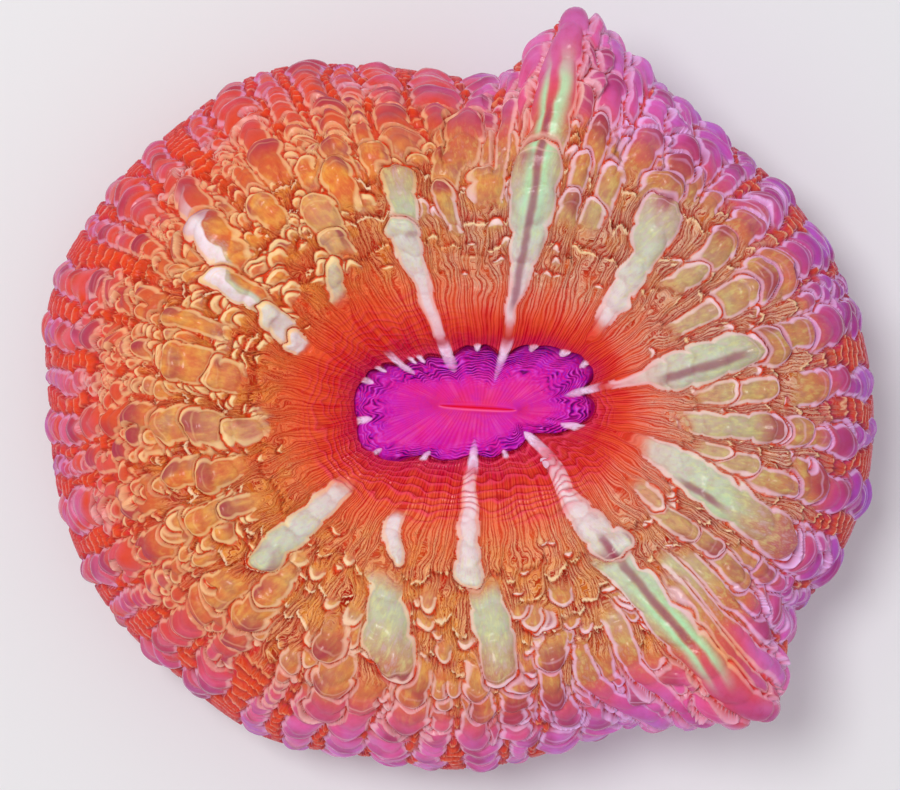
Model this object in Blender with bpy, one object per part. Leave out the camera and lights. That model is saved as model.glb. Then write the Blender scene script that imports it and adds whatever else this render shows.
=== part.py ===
"""A button coral: one large fleshy stony-coral polyp, swollen with water, cut off flat where it grew.

The polyp is one closed body. A sphere's rings are moved onto a loft: fifteen closed rings run from
the mouth, over the dished oral disc, the swollen mantle and its widest rim, and in to the flat cut.
X is the mouth's long direction, +Z is up, and the origin is on the cut. Metres and degrees.
"""

import bmesh
import bpy
import numpy as np

MM = 0.001

# Outer rim, seen from above: its radius every 15 degrees anticlockwise from +X, in mm.
RIM_RADII = [
    60.6, 59.4, 57.4, 54.6, 51.6, 48.8, 48.0, 51.6, 56.4, 57.8, 59.8, 61.4,
    59.4, 59.4, 58.6, 56.4, 55.6, 52.6, 52.6, 52.0, 52.0, 54.0, 58.0, 60.6,
]
RIM_CENTRE = (0.4, -1.5)
RIM_HEIGHT = 12.5

# Oral disc: half length, half width and height of each oval ring from the mouth out, in mm.
DISC_CENTRE = (3.9, -1.8)
DISC_OVALS = [
    (5.4, 1.2, 31.6), (8.5, 3.2, 32.2), (13.0, 6.2, 31.8),
    (16.2, 8.4, 30.0), (17.2, 9.4, 31.5), (18.4, 10.4, 34.0),
]
OVAL_FULLNESS = 0.18

# Mantle rings: share of the way from disc to rim, and height in mm, on the steep and the gentle side.
STEEP_SIDE = [
    (0.20, 39.0), (0.42, 44.0), (0.62, 46.0), (0.80, 43.0), (0.93, 34.0), (0.99, 23.0),
    (1.0, RIM_HEIGHT), (0.965, 4.5), (0.90, 0.0),
]
GENTLE_SIDE = [
    (0.20, 38.5), (0.38, 43.5), (0.53, 45.0), (0.68, 41.5), (0.82, 34.0), (0.93, 24.5),
    (1.0, RIM_HEIGHT), (0.965, 4.5), (0.90, 0.0),
]
GENTLE_DIRECTION = 158.0
GENTLE_NARROWING = 1.35

# Two pointed folds of the mantle: direction, reach to each side (degrees), roundness and size.
HORNS = [
    (71.0, 13.0, 26.0, 1.2, 1.0),
    (317.0, 10.0, 22.0, 3.0, 0.85),
]
HORN_REACH = [0.0, 0.02, 0.06, 0.20, 0.36, 0.16, 0.0, 0.0, 0.0]
HORN_LIFT = [0.0, 0.5, 2.0, 4.0, 11.0, 6.0, 0.5, 0.0, 0.0]
HORN_SHARPNESS = 1.6

# Swollen radial lobes over the skeleton's largest septa: direction, first and last station, height in mm.
LOBES = [
    (14.0, 6.0, 9.0, 1.8), (45.0, 5.4, 8.6, 2.0), (74.0, 5.2, 9.0, 1.8), (105.0, 5.4, 8.4, 1.8),
    (125.0, 6.4, 9.4, 1.5), (151.0, 5.8, 8.6, 1.8), (184.0, 6.2, 9.0, 1.5), (220.0, 5.4, 8.6, 1.8),
    (250.0, 5.6, 8.6, 2.0), (274.0, 5.2, 8.6, 1.8), (310.0, 5.2, 9.4, 2.0), (338.0, 5.4, 8.8, 2.0),
    (356.0, 6.2, 8.6, 1.6),
]
LOBE_HALF_ANGLE = 5.5
LOBE_END_STATIONS = 0.5

# Ribs down the flank over the smaller septa.
RIB_COUNT = 40
RIB_HEIGHT = 0.9
RIB_STATIONS = (7.0, 8.5, 12.6, 13.8)

LAST_STATION = len(DISC_OVALS) + len(STEEP_SIDE) - 1
SEGMENTS_AROUND = 120
SEGMENTS_DOWN = 40
BASE_RINGS = 4
MOUTH_STATION = 0.35
MOUTH_SINK = 0.6

FLESH_COLOUR = (0.72, 0.20, 0.06, 1.0)
FLESH_ROUGHNESS = 0.35


def around(values, angle):
    """Smooth closed curve through values spaced evenly round the circle, read at angle (radians)."""
    points = np.asarray(values, float)
    count = len(points)
    place = (np.degrees(angle) % 360.0) * count / 360.0
    before = np.floor(place).astype(int)
    share = place - before
    p0, p1, p2, p3 = (points[(before + k) % count] for k in (-1, 0, 1, 2))
    bend = 2 * p0 - 5 * p1 + 4 * p2 - p3 + share * (3 * (p1 - p2) + p3 - p0)
    return p1 + 0.5 * share * (p2 - p0 + share * bend)


def degrees_from(angle, direction):
    """Signed degrees from direction to angle, between -180 and 180."""
    return (np.degrees(angle) - direction + 180.0) % 360.0 - 180.0


def horn(angle, direction, left, right, roundness):
    """1 on the fold's crest, falling to 0 at left and right degrees from it."""
    turn = degrees_from(angle, direction)
    width = np.where(turn > 0, left, right)
    fall = (np.sqrt(turn**2 + roundness**2) - roundness) / width
    return np.clip(1.0 - fall, 0.0, 1.0) ** HORN_SHARPNESS


def oval(half_length, half_width, angle):
    """Plan of one disc ring: an ellipse filled out at its corners."""
    c, s = np.cos(angle), np.sin(angle)
    x = half_length * c * (1 + OVAL_FULLNESS * s * s) + DISC_CENTRE[0]
    y = half_width * s * (1 + OVAL_FULLNESS * c * c) + DISC_CENTRE[1]
    return np.stack([x, y], -1)


def control_rings(angle):
    """The fifteen rings of the loft at these angles, as an array of ring, angle and x, y, z in mm."""
    radius = around(RIM_RADII, angle)
    rim = np.stack([radius * np.cos(angle), radius * np.sin(angle)], -1) + np.array(RIM_CENTRE)
    disc_edge = oval(DISC_OVALS[-1][0], DISC_OVALS[-1][1], angle)
    turn = np.clip(degrees_from(angle, GENTLE_DIRECTION) * GENTLE_NARROWING, -180, 180)
    gentle = 0.5 + 0.5 * np.cos(np.radians(turn))
    fold = sum(size * horn(angle, *shape) for *shape, size in HORNS)
    rings = []
    for half_length, half_width, height in DISC_OVALS:
        plan = oval(half_length, half_width, angle)
        rings.append(np.column_stack([plan, np.full(len(angle), height)]))
    for (g1, z1), (g2, z2), reach, lift in zip(STEEP_SIDE, GENTLE_SIDE, HORN_REACH, HORN_LIFT):
        share = g1 + (g2 - g1) * gentle + reach * fold
        height = z1 + (z2 - z1) * gentle + lift * fold
        plan = disc_edge + (rim - disc_edge) * share[:, None]
        rings.append(np.column_stack([plan, height]))
    return np.stack(rings)


def loft(angle, station):
    """Points on the uniform cubic B-spline through the rings. Station 0 is the mouth, the last one the cut."""
    rings = control_rings(angle)
    last = len(rings) - 1
    rings = np.concatenate([2 * rings[:1] - rings[1:2], rings, 2 * rings[-1:] - rings[-2:-1]])
    before = np.clip(np.floor(station).astype(int), 0, last - 1)
    f = (station - before)[:, None]
    weights = [
        (1 - f) ** 3 / 6,
        (3 * f**3 - 6 * f**2 + 4) / 6,
        (-3 * f**3 + 3 * f**2 + 3 * f + 1) / 6,
        f**3 / 6,
    ]
    column = np.arange(len(angle))
    return sum(w * rings[before + k, column] for k, w in enumerate(weights))


def outward(angle, station):
    """Unit normals of the loft, from small steps along and across it."""
    step = 0.01
    below = loft(angle, np.minimum(station + step, LAST_STATION))
    along = below - loft(angle, np.maximum(station - step, 0))
    across = loft(angle + step, station) - loft(angle - step, station)
    normal = np.cross(along, across)
    return normal / np.linalg.norm(normal, axis=1)[:, None]


def swelling(angle, station):
    """Height in mm of the lobes and ribs above the loft."""
    rise = np.zeros(len(angle))
    for direction, first, last, height in LOBES:
        across = np.exp(-((degrees_from(angle, direction) / LOBE_HALF_ANGLE) ** 2))
        along = np.clip(np.minimum(station - first, last - station) / LOBE_END_STATIONS + 1, 0, 1)
        rise = np.maximum(rise, height * across * along)
    start, full, fade, end = RIB_STATIONS
    strength = np.clip(np.minimum((station - start) / (full - start), (end - station) / (end - fade)), 0, 1)
    return rise + RIB_HEIGHT * strength * (0.5 + 0.5 * np.cos(RIB_COUNT * angle))


def polyp_mesh():
    """A sphere whose rings become the rings of the polyp, with its south pole in the flat cut."""
    bm = bmesh.new()
    bmesh.ops.create_uvsphere(bm, u_segments=SEGMENTS_AROUND, v_segments=SEGMENTS_DOWN, radius=1.0)
    bmesh.ops.triangulate(bm, faces=bm.faces)
    mesh = bpy.data.meshes.new("polyp")
    bm.to_mesh(mesh)
    bm.free()
    sphere = np.zeros(len(mesh.vertices) * 3, np.float32)
    mesh.vertices.foreach_get("co", sphere)
    x, y, z = sphere.reshape(-1, 3).astype(float).T
    angle = np.arctan2(y, x)
    ring = np.arccos(np.clip(z, -1, 1)) / np.pi * SEGMENTS_DOWN

    last_side_ring = SEGMENTS_DOWN - BASE_RINGS
    side = np.clip((ring - 1) / (last_side_ring - 1), 0, 1)
    station = MOUTH_STATION + (LAST_STATION - MOUTH_STATION) * side
    points = loft(angle, station)
    points += outward(angle, station) * swelling(angle, station)[:, None]

    below = ring > last_side_ring - 0.5
    inset = np.clip((SEGMENTS_DOWN - ring) / BASE_RINGS, 0, 1)[:, None]
    cut_centre = np.array([*RIM_CENTRE, 0.0])
    points = np.where(below[:, None], cut_centre + (points - cut_centre) * inset, points)
    points[below, 2] = 0.0
    mouth = ring < 0.5
    points[mouth] = [*DISC_CENTRE, DISC_OVALS[0][2] - MOUTH_SINK]

    mesh.vertices.foreach_set("co", (points * MM).astype(np.float32).ravel())
    mesh.update()
    mesh.shade_smooth()
    return mesh


def flesh_material():
    """Wet orange flesh."""
    material = bpy.data.materials.new("flesh")
    material.use_nodes = True
    shader = material.node_tree.nodes["Principled BSDF"]
    shader.inputs["Base Color"].default_value = FLESH_COLOUR
    shader.inputs["Roughness"].default_value = FLESH_ROUGHNESS
    shader.inputs["Metallic"].default_value = 0.0
    return material


for old in list(bpy.data.objects):
    bpy.data.objects.remove(old)

collection = bpy.data.collections.new("button_coral")
bpy.context.scene.collection.children.link(collection)
polyp = bpy.data.objects.new("polyp", polyp_mesh())
polyp.data.materials.append(flesh_material())
collection.objects.link(polyp)
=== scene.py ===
"""Looks of a button coral: one swollen polyp seen as its skin.

The skin is worked out on one net of lines: nu turns round the body from +X, and s runs down the skin in
millimetres from the inner edge of the mantle, over the crown and the flank, to the cut. Negative s lies
in the oral disc. Each piece is a ring of that skin, closed behind by a plain wall inside the body.
"""

import bpy
import numpy as np
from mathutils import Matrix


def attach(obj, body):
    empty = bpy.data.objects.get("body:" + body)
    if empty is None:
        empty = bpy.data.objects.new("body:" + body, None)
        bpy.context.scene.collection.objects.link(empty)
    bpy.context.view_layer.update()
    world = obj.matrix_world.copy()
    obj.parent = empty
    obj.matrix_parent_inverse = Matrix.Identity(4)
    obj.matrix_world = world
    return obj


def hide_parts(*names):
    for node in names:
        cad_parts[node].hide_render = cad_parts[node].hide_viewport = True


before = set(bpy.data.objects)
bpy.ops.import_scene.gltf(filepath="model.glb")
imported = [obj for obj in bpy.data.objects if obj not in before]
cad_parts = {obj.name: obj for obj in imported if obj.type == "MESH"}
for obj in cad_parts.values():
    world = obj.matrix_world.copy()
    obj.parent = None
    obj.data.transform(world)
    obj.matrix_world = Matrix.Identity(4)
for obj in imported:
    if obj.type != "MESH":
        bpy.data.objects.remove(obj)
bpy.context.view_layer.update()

# ------------------------------------------------------------------------------------------------- oral disc
# The disc is thin skin stretched round the slit of the mouth, and gathered in ring-shaped wrinkles that hang
# in festoons between the teeth. It dishes the top of a body blown up with water, which swells to a mantle
# with two pointed folds and tucks in to the cut.

MM = 0.001
TURN = 2 * np.pi
# The rim's radius every 15 degrees from +X, in mm.
RIM_RADII = [
    60.6, 59.4, 57.4, 54.6, 51.6, 48.8, 48.0, 51.6, 56.4, 57.8, 59.8, 61.4,
    59.4, 59.4, 58.6, 56.4, 55.6, 52.6, 52.6, 52.0, 52.0, 54.0, 58.0, 60.6,
]
RIM_CENTRE = (0.4, -1.5)
RIM_HEIGHT = 12.5
DISC_CENTRE = (3.9, -1.8)
# Half length, half width and height of the disc's oval rings from the mouth out, in mm.
DISC_OVALS = [
    (5.0, 0.03, 31.9), (8.5, 2.8, 32.3), (13.0, 6.2, 31.9),
    (16.2, 8.4, 31.3), (17.2, 9.4, 32.2), (18.4, 10.4, 34.0),
]
OVAL_FULLNESS = 0.18
# Rings from disc to rim and cut: share of the way to the rim, and height in mm. The flank is steep on one
# side and gentle on the other.
STEEP_SIDE = [
    (0.20, 39.0), (0.42, 44.0), (0.62, 46.0), (0.80, 43.0), (0.93, 34.0), (0.99, 23.0),
    (1.0, RIM_HEIGHT), (0.965, 4.5), (0.90, 0.0),
]
GENTLE_SIDE = [
    (0.20, 38.5), (0.38, 43.5), (0.53, 45.0), (0.68, 41.5), (0.82, 34.0), (0.93, 24.5),
    (1.0, RIM_HEIGHT), (0.965, 4.5), (0.90, 0.0),
]
GENTLE_DIRECTION = 158.0
GENTLE_NARROWING = 1.35
# Pointed folds: direction, reach to each side in degrees, roundness and size.
HORNS = [(71.0, 13.0, 26.0, 1.2, 1.0), (317.0, 10.0, 22.0, 3.0, 0.85)]
HORN_SHARPNESS = 1.6
HORN_REACH = [0.0, 0.02, 0.06, 0.20, 0.36, 0.16, 0.0, 0.0, 0.0]
HORN_LIFT = [0.0, 0.5, 2.0, 4.0, 11.0, 6.0, 0.5, 0.0, 0.0]
DISC_EDGE_RING = 5
# Steps over which slopes are measured: mm down the skin, and radians round it.
STEP_S = 0.3
STEP_NU = 0.004


def around(values, nu):
    """Smooth closed curve (Catmull-Rom) through values spaced evenly round the circle."""
    points = np.asarray(values, float)
    count = len(points)
    place = (nu / TURN % 1.0) * count
    i = np.floor(place).astype(int)
    f = place - i
    p0, p1, p2, p3 = (points[(i + k) % count] for k in (-1, 0, 1, 2))
    return p1 + 0.5 * f * (p2 - p0 + f * (2 * p0 - 5 * p1 + 4 * p2 - p3 + f * (3 * (p1 - p2) + p3 - p0)))


def degrees_from(nu, direction):
    """Signed degrees from direction to nu, between -180 and 180."""
    return (np.degrees(nu) - direction + 180.0) % 360.0 - 180.0


def smooth(low, high, value):
    """0 below low, 1 above high, and a smoothstep between them."""
    x = np.clip((value - low) / (high - low), 0, 1)
    return x * x * (3 - 2 * x)


def horn(nu, direction, left, right, roundness):
    """1 on a pointed fold's crest, falling to 0 at left and right degrees from it."""
    turn = degrees_from(nu, direction)
    fall = (np.sqrt(turn**2 + roundness**2) - roundness) / np.where(turn > 0, left, right)
    return np.clip(1.0 - fall, 0.0, 1.0) ** HORN_SHARPNESS


def folds(nu):
    """How far each direction belongs to the two pointed folds, from 0 to 1."""
    return sum(size * horn(nu, *shape) for *shape, size in HORNS)


def gentleness(nu):
    """1 where the flank falls gently, and 0 on the steep side."""
    turn = degrees_from(nu, GENTLE_DIRECTION) * GENTLE_NARROWING
    return 0.5 + 0.5 * np.cos(np.radians(np.clip(turn, -180, 180)))


def oval(half_length, half_width, nu):
    """Plan of a disc ring: an ellipse filled out at its corners."""
    c, s = np.cos(nu), np.sin(nu)
    x = half_length * c * (1 + OVAL_FULLNESS * s * s) + DISC_CENTRE[0]
    y = half_width * s * (1 + OVAL_FULLNESS * c * c) + DISC_CENTRE[1]
    return np.stack([x, y], -1)


def control_rings(nu):
    """The fifteen rings of the body at these directions, as ring, direction and x, y, z in mm."""
    radius = around(RIM_RADII, nu)
    rim = np.stack([radius * np.cos(nu), radius * np.sin(nu)], -1) + np.array(RIM_CENTRE)
    disc_edge = oval(DISC_OVALS[-1][0], DISC_OVALS[-1][1], nu)
    gentle, fold = gentleness(nu), folds(nu)
    rings = [np.column_stack([oval(a, b, nu), np.full(len(nu), z)]) for a, b, z in DISC_OVALS]
    for (g1, z1), (g2, z2), reach, lift in zip(STEEP_SIDE, GENTLE_SIDE, HORN_REACH, HORN_LIFT):
        share = g1 + (g2 - g1) * gentle + reach * fold
        height = z1 + (z2 - z1) * gentle + lift * fold
        rings.append(np.column_stack([disc_edge + (rim - disc_edge) * share[:, None], height]))
    return np.stack(rings)


def spline(rings, station):
    """Points on the uniform cubic B-spline through the rings, for station[row, direction]."""
    last = len(rings) - 1
    rings = np.concatenate([2 * rings[:1] - rings[1:2], rings, 2 * rings[-1:] - rings[-2:-1]])
    i = np.clip(np.floor(station).astype(int), 0, last - 1)
    f = (station - i)[..., None]
    weights = [(1 - f) ** 3, 3 * f**3 - 6 * f**2 + 4, -3 * f**3 + 3 * f**2 + 3 * f + 1, f**3]
    column = np.arange(rings.shape[1])
    return sum(w * rings[i + k, column] for k, w in enumerate(weights)) / 6


def arc_table(directions=72, stations=561):
    """Mean distance down the skin, counted from the disc edge ring, and the station that it belongs to."""
    nu = np.linspace(0, TURN, directions, endpoint=False)
    station = np.linspace(0, len(DISC_OVALS) + len(STEEP_SIDE) - 1, stations)
    points = spline(control_rings(nu), np.repeat(station[:, None], directions, 1))
    steps = np.linalg.norm(np.diff(points, axis=0), axis=2).mean(1)
    distance = np.concatenate([[0], np.cumsum(steps)])
    return distance - np.interp(DISC_EDGE_RING, station, distance), station


ARC, STATION = arc_table()
MOUTH_S, CUT_S = ARC[0], ARC[-1]


def body(nu, s):
    """Bare body at nu[direction] and s[row, direction]: points in mm, outward normals, unit steps down the
    skin, and the millimetres that one radian of nu spans."""
    def at(turn, down):
        return spline(control_rings(turn), np.interp(down, ARC, STATION))
    down = at(nu, np.minimum(s + STEP_S, CUT_S)) - at(nu, np.maximum(s - STEP_S, MOUTH_S))
    across = (at(nu + STEP_NU, s) - at(nu - STEP_NU, s)) / (2 * STEP_NU)
    span = np.linalg.norm(across, axis=2)
    down /= np.linalg.norm(down, axis=2)[..., None]
    normal = np.cross(down, across / span[..., None])
    return at(nu, s), normal / np.linalg.norm(normal, axis=2)[..., None], down, span


WALL = 3.0
EDGE_S = -5.6
# Where the edge lies on the real skin, as s every 15 degrees.
EDGE_PLACES = [
    -4.3, -4.3, -2.4, -2.3, -3.0, -3.6, -4.0, -4.6, -5.2, -4.6, -3.9, -3.2,
    -3.2, -3.0, -2.7, -3.4, -5.0, -5.2, -5.2, -6.3, -8.0, -8.8, -7.0, -5.0,
]
# Teeth, the inner ends of the septa: direction, reach into the disc in mm, half width in mm, and whether a
# lobe's ray runs on from it.
TEETH = [
    (15, 2.2, 0.55, 1), (35, 0.8, 0.4, 0), (50, 0.7, 0.7, 0), (66, 0.5, 0.6, 0), (78, 4.4, 0.8, 1),
    (90, 0.4, 0.5, 0), (104, 2.8, 0.85, 1), (118, 0.6, 0.4, 0), (123, 0.5, 0.35, 0), (131, 2.0, 0.5, 1),
    (144, 0.6, 0.35, 0), (158, 0.8, 0.45, 0), (190, 1.4, 0.5, 0), (218, 0.7, 0.35, 0), (244, 0.9, 0.5, 0),
    (268, 3.0, 0.75, 1), (284, 0.6, 0.4, 0), (306, 0.9, 0.8, 1), (341, 1.6, 0.6, 0),
]
# Pitch and height of the wrinkles and depth of the throat in mm, and the slope along the mouth.
FOLD_PITCH = 0.52
FOLD_HEIGHT = 0.48
THROAT_DEPTH = 0.12
MOUTH_TILT = 0.06


def ripple(nu, s, cells, length, seed):
    """Smooth noise from -1 to 1: random values on a net of cells round the body and one per length in mm
    down it, joined by smoothsteps."""
    deepest, highest = 100, 30
    rows = int((deepest + highest) / length) + 3
    table = np.random.default_rng(seed).uniform(-1, 1, (rows, cells))
    u = (nu / TURN % 1.0) * cells
    v = (s + highest) / length
    i, j = np.floor(u).astype(int), np.floor(v).astype(int)
    fu, fv = smooth(0, 1, u - i), smooth(0, 1, v - j)
    right = (i + 1) % cells
    i = i % cells
    top = table[j, i] * (1 - fu) + table[j, right] * fu
    low = table[j + 1, i] * (1 - fu) + table[j + 1, right] * fu
    return top * (1 - fv) + low * fv


def pinch(nu):
    """Push in mm of the disc's edge towards the mouth at the teeth. Between them it hangs in festoons."""
    span = 15.0
    push = 0 * nu
    for direction, reach, half, _ in TEETH:
        a = np.radians(degrees_from(nu, direction)) * span / (half + 0.7)
        push = np.maximum(push, (0.5 + 0.4 * reach) * np.exp(-np.abs(a) ** 1.3))
    return push


def slid(nu, s):
    """s moved so that the disc's edge, always at EDGE_S, lies on its own uneven line."""
    edge = around(EDGE_PLACES, nu) - pinch(nu)
    return s + (edge - EDGE_S) * np.exp(-(((s - EDGE_S) / 6.0) ** 2)) * smooth(MOUTH_S, MOUTH_S + 4, s)


def dome(x):
    """Half circle over -1 to 1."""
    return np.sqrt(np.clip(1 - x * x, 0, 1))


def teeth(turn, s, span):
    """Slender tapering teeth that lie across the disc's edge: cover from 0 to 1, and height in mm."""
    cover, height = 0 * s, 0 * s
    for direction, reach, half, ray in TEETH:
        a = np.radians(degrees_from(turn, direction)) * span
        out = s - (EDGE_S - reach)
        width = half * dome(1 - np.clip(out / (1.5 * half), 0, 1))
        if reach > 2.9:
            width = half * np.sqrt(np.clip(out / (1.2 * reach + 0.4), 0, 1))
        keep = 1 - smooth(0.4, 1.4, s - EDGE_S) * (1 - ray)
        width = width * keep + 1e-6
        cover = np.maximum(cover, smooth(-0.12, 0.12, width - np.abs(a)) * keep * (out > 0))
        height = np.maximum(height, 0.7 * width * dome(a / width))
    return cover, height * (1 - smooth(0, 3, s - EDGE_S))


def disc_shape(nu, s):
    """The disc's wrinkles: |sin| ridges, round on top and sharp below, along lines of equal distance from
    the edge, broken by noise and fading out towards the mouth; shallow radial lines; teeth; and the mouth's
    lips."""
    points, normals, _, span = body(nu, slid(nu, s))
    turn = nu[None] + 0 * s
    inward = EDGE_S - s
    drift = 1.5 * ripple(turn, s, 36, 2.6, 11) + 0.8 * ripple(turn, s, 100, 1.1, 12)
    wave = np.abs(np.sin(np.pi * (inward / FOLD_PITCH + drift)))
    broken = 0.45 + 0.55 * smooth(-0.5, 0.3, ripple(turn, s, 70, 1.4, 17))
    wave = 1 - (1 - wave) * broken
    reach = 3.8 + 1.2 * np.sin(turn) + 0.5 * np.cos(turn) + 1.1 * ripple(turn, 0 * s, 22, 9, 13)
    wrinkled = smooth(0, 0.4, inward) * (1 - smooth(reach - 1.6, reach + 1.4, inward))
    net = ripple(turn, s, 170, 0.5, 14) * wrinkled
    stria = np.abs(np.sin(52 * turn + 1.6 * ripple(turn, s, 30, 4, 15)))
    from_mouth = s - MOUTH_S
    lips = 0.22 * np.exp(-(((from_mouth - 0.5) / 0.4) ** 2))
    middle = smooth(0.3, 1.2, from_mouth) * (1 - wrinkled) * smooth(0.5, 2.5, inward)
    cover, tooth_height = teeth(turn, s, span)
    rise = FOLD_HEIGHT * (wave - 0.35) * wrinkled + 0.1 * net + lips + 0.07 * (stria - 1) * middle
    rise += 0.3 * ripple(turn, s, 9, 5, 16) * middle
    rise = rise * (1 - 0.7 * cover) + tooth_height
    rise -= 1.1 * np.exp(-((inward / 0.3) ** 2)) * (1 - cover)
    masks = {
        "inward": inward / 10,
        "fold": wave * wrinkled + (1 - wrinkled),
        "stria": (1 - stria) * middle,
        "ray": 0.4 * smooth(-0.1, 0.9, ripple(turn, s, 120, 3, 18)) * middle * smooth(0.8, 2.5, from_mouth),
        "slit": np.exp(-((from_mouth / 0.22) ** 2)),
        # Painted highlight on the mouth's lower lip, on one side of the slit only.
        "lip": np.exp(-(((from_mouth - 0.4) / 0.16) ** 2)) * smooth(0.1, -0.3, np.sin(turn)),
        "wrinkled": wrinkled,
        "tooth": cover * (0.25 + 0.7 * smooth(2.6, 0.2, inward)),
        "shadow": np.exp(-inward / 0.9) * smooth(-0.2, 0.6, np.sin(turn + 0.2)),
    }
    points = points + rise[..., None] * normals
    points[..., 1] -= MOUTH_TILT * (points[..., 0] - DISC_CENTRE[0]) * np.exp(-((from_mouth / 4) ** 2))
    return points, normals, masks


def closed_skin(name, rings, masks, poles=None):
    """A closed mesh from rings[row, direction, xyz] in mm. Quads join each ring to the next. With poles the
    ends are closed by fans to those two points, and without them the last ring joins the first."""
    rows, count = rings.shape[:2]
    row = np.arange(rows if poles is None else rows - 1)[:, None]
    col = np.arange(count)[None]
    below, right = (row + 1) % rows * count, (col + 1) % count
    quads = np.stack([row * count + col, below + col, below + right, row * count + right], -1)
    corners = quads.ravel()
    totals = np.full(corners.size // 4, 4)

    def level(number):
        return 0.005 + 0.99 * (number + 0.5) / (rows + 1)

    def place(u, v):
        return np.stack(np.broadcast_arrays(u / count, v), -1)

    top, bottom = level(row), level(row + 1)
    uv = np.stack([place(col, top), place(col, bottom), place(col + 1, bottom), place(col + 1, top)], 2)
    uv = uv.reshape(-1, 2)
    points = rings.reshape(-1, 3)
    values = {key: value.ravel() for key, value in masks.items()}
    if poles is not None:
        points = np.concatenate([points, poles])
        turn, after, last = col[0], right[0], (rows - 1) * count
        pole = rows * count + 0 * turn
        fans = np.array([[pole, turn, after], [last + turn, pole + 1, last + after]])
        corners = np.concatenate([corners, fans.transpose(0, 2, 1).ravel()])
        totals = np.concatenate([totals, np.full(2 * count, 3)])
        top, bottom = level(0), level(rows - 1)
        fans = np.array([[place(turn + 0.5, 0.0), place(turn, top), place(turn + 1, top)],
                         [place(turn, bottom), place(turn + 0.5, 0.996), place(turn + 1, bottom)]])
        uv = np.concatenate([uv, fans.transpose(0, 2, 1, 3).reshape(-1, 2)])
        for key, value in values.items():
            values[key] = np.concatenate([value, [value[:count].mean(), value[-count:].mean()]])
    mesh = bpy.data.meshes.new(name)
    mesh.vertices.add(len(points))
    mesh.vertices.foreach_set("co", (points * MM).astype(np.float32).ravel())
    mesh.loops.add(len(corners))
    mesh.loops.foreach_set("vertex_index", corners.astype(np.int32))
    mesh.polygons.add(len(totals))
    mesh.polygons.foreach_set("loop_start", (np.cumsum(totals) - totals).astype(np.int32))
    mesh.update(calc_edges=True)
    mesh.uv_layers.new(name="OFBake").uv.foreach_set("vector", uv.astype(np.float32).ravel())
    for key, value in values.items():
        mesh.attributes.new(key, "FLOAT", "POINT").data.foreach_set("value", value.astype(np.float32))
    mesh.shade_smooth()
    piece = bpy.data.objects.new(name, mesh)
    bpy.context.scene.collection.objects.link(piece)
    return piece


def disc_mesh(count=660, rows=100):
    """The disc's rings, a narrow throat that two more rings take down to a pole, and a plain underside."""
    s_rows = np.linspace(MOUTH_S, EDGE_S, rows)
    nu = np.linspace(0, TURN, count, endpoint=False)
    points, normals, masks = disc_shape(nu, np.repeat(s_rows[:, None], count, 1))
    lip = points[0]
    centre = lip.mean(0)
    throat = [centre + (lip - centre) * (1, 0.5, 1) - (0, 0, THROAT_DEPTH * k) for k in (1.0, 0.35)]
    under = points[-1] - WALL * normals[-1]
    rings = np.concatenate([np.stack(throat), points, under[None]])
    masks = {key: np.concatenate([v[:1], v[:1], v, v[-1:]]) for key, v in masks.items()}
    poles = np.stack([centre - (0, 0, THROAT_DEPTH), under.mean(0)])
    return closed_skin("oral_disc", rings, masks, poles)


def linear(colour):
    """A colour as a shader takes it: a socket as it is, a grey from 0 to 1, or a screen's red, green and
    blue from 0 to 255."""
    if isinstance(colour, bpy.types.NodeSocket):
        return colour
    if len(colour) == 1:
        return (*colour, *colour, *colour, 1.0)
    c = np.array(colour) / 255
    return (*np.where(c <= 0.04045, c / 12.92, ((c + 0.055) / 1.055) ** 2.4), 1.0)


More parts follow.
